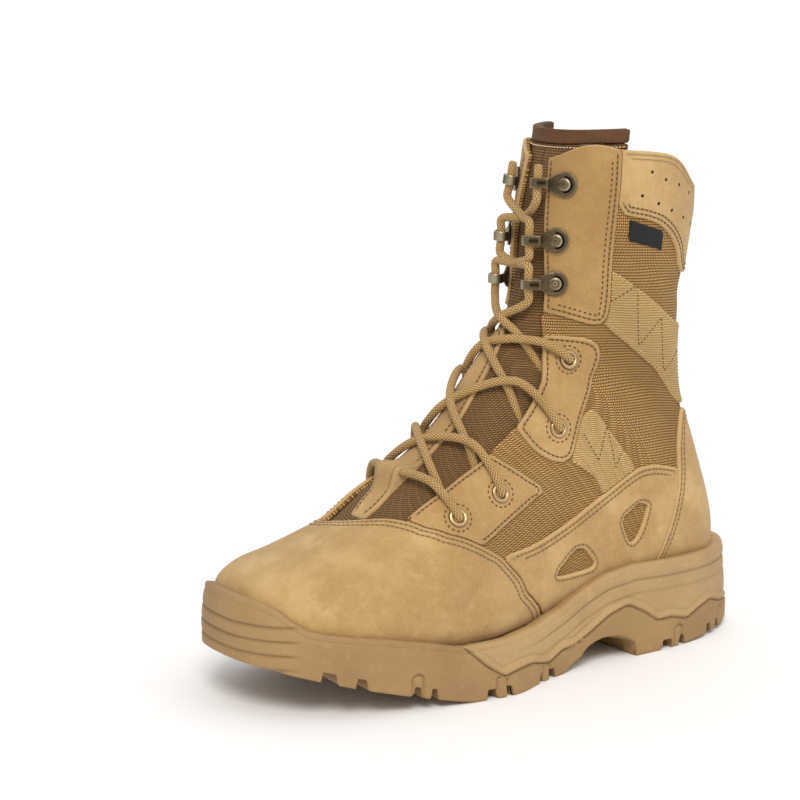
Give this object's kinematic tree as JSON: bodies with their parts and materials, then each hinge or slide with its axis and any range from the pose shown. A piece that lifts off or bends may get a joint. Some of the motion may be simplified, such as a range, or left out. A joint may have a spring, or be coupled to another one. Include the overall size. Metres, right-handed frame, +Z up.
{
  "type": "combat boot",
  "caption": "Left tall lace-up combat boot in tan suede and woven canvas, open at the collar, on a lugged two-part rubber sole with a raised toe and a cut-out arch.",
  "frame": {"origin": "on the floor under the middle of the boot's bounding box", "axes": "+X runs from the heel to the toe, +Y to the outer side of the left foot, +Z up from the floor"},
  "size_m": [0.3026, 0.1202, 0.2646],
  "materials": {
    "rubber": "satin",
    "suede": "napped",
    "canvas": "woven",
    "webbing": "woven",
    "tongue_cloth": "woven",
    "binding_leather": "smooth",
    "sock": "felted",
    "label_weave": "woven",
    "metal": "antique",
    "cord": "braided"
  },
  "bodies": {
    "root": {"outsole": "rubber", "midsole": "rubber", "insole": "sock", "upper": "canvas", "tongue": "tongue_cloth", "tongue_binding": "binding_leather", "tongue_strap": "webbing", "vamp": "suede", "quarter_overlay_outer": "suede", "quarter_overlay_inner": "suede", "heel_counter": "suede", "eyestay_top_outer": "suede", "eyestay_top_inner": "suede", "eyestay_middle_outer": "suede", "eyestay_middle_inner": "suede", "eyestay_lower_outer": "suede", "eyestay_lower_inner": "suede", "collar_cuff": "suede", "webbing_upper": "webbing", "webbing_lower_outer": "webbing", "webbing_lower_inner": "webbing", "label": "label_weave", "eyelet_outer_1": "metal", "eyelet_outer_2": "metal", "eyelet_outer_3": "metal", "eyelet_outer_4": "metal", "eyelet_inner_1": "metal", "eyelet_inner_2": "metal", "eyelet_inner_3": "metal", "eyelet_inner_4": "metal", "hook_outer_1": "metal", "hook_outer_2": "metal", "hook_outer_3": "metal", "hook_inner_1": "metal", "hook_inner_2": "metal", "hook_inner_3": "metal", "lace_bar": "cord", "lace_crossing_1": "cord", "lace_crossing_2": "cord", "lace_crossing_3": "cord", "lace_hooks": "cord"}
  },
  "joints": []
}
